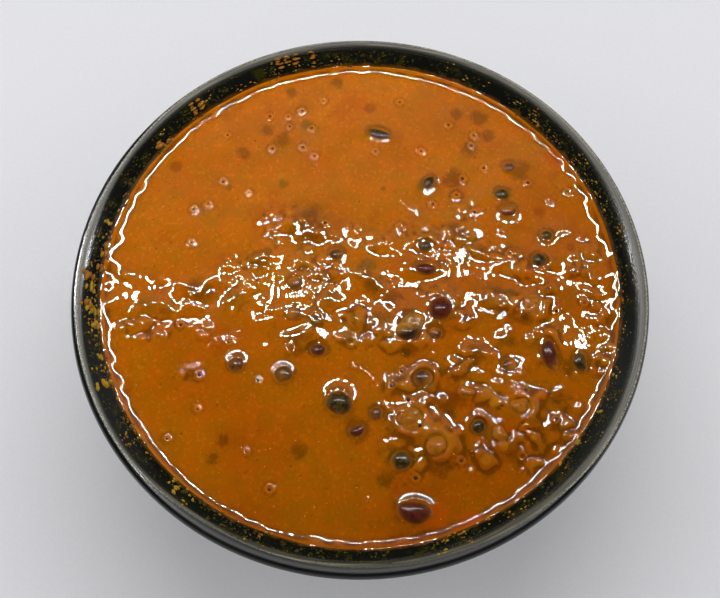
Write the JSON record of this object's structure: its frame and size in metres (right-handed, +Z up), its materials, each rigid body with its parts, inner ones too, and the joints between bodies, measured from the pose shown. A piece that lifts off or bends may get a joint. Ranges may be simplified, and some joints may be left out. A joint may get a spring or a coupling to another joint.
{
  "type": "bowl of bean and lentil curry",
  "caption": "Round dark glazed serving bowl filled almost to its lip with glossy orange-brown curry, with red, brown and black beans breaking the surface.",
  "frame": {"origin": "middle of the underside of the bowl's foot ring, on the table", "axes": "+Z up; the bowl is round about Z; +X is the picture's right and +Y its far side"},
  "size_m": [0.16, 0.16, 0.064],
  "materials": {
    "black_glaze": "glossy black glaze over stoneware, thinning to streaky grey-olive on the lip, with spice specks",
    "curry": "wet, oily, smooth sauce with a glossy skin, ground spice specks and small seeds",
    "red_bean_skin": "wet dark red bean skin",
    "brown_bean_skin": "wet brown bean skin under a film of sauce",
    "black_bean_skin": "wet dark olive-black bean skin",
    "chickpea_skin": "wet yellow-brown pulse skin with a dark side",
    "sauce_coat": "bean coated all over with sauce"
  },
  "bodies": {
    "root": {"bowl": "black_glaze", "curry": "curry", "red_bean_1": "red_bean_skin", "red_bean_2": "red_bean_skin", "red_bean_3": "red_bean_skin", "red_bean_4": "red_bean_skin", "red_bean_5": "red_bean_skin", "red_bean_6": "red_bean_skin", "red_bean_7": "red_bean_skin", "chickpea_1": "chickpea_skin", "black_bean_1": "black_bean_skin", "black_bean_2": "black_bean_skin", "black_bean_3": "black_bean_skin", "black_bean_4": "black_bean_skin", "black_bean_5": "black_bean_skin", "black_bean_6": "black_bean_skin", "black_bean_7": "black_bean_skin", "black_bean_8": "black_bean_skin", "black_bean_9": "black_bean_skin", "black_bean_10": "black_bean_skin", "black_bean_11": "black_bean_skin", "brown_bean_1": "brown_bean_skin", "brown_bean_2": "brown_bean_skin", "brown_bean_3": "brown_bean_skin", "brown_bean_4": "brown_bean_skin", "brown_bean_5": "brown_bean_skin", "brown_bean_6": "brown_bean_skin", "brown_bean_7": "brown_bean_skin", "brown_bean_8": "brown_bean_skin", "brown_bean_9": "brown_bean_skin", "coated_bean_1": "sauce_coat", "coated_bean_2": "sauce_coat", "coated_bean_3": "sauce_coat", "coated_bean_4": "sauce_coat", "coated_bean_5": "sauce_coat", "coated_bean_6": "sauce_coat"}
  },
  "joints": []
}
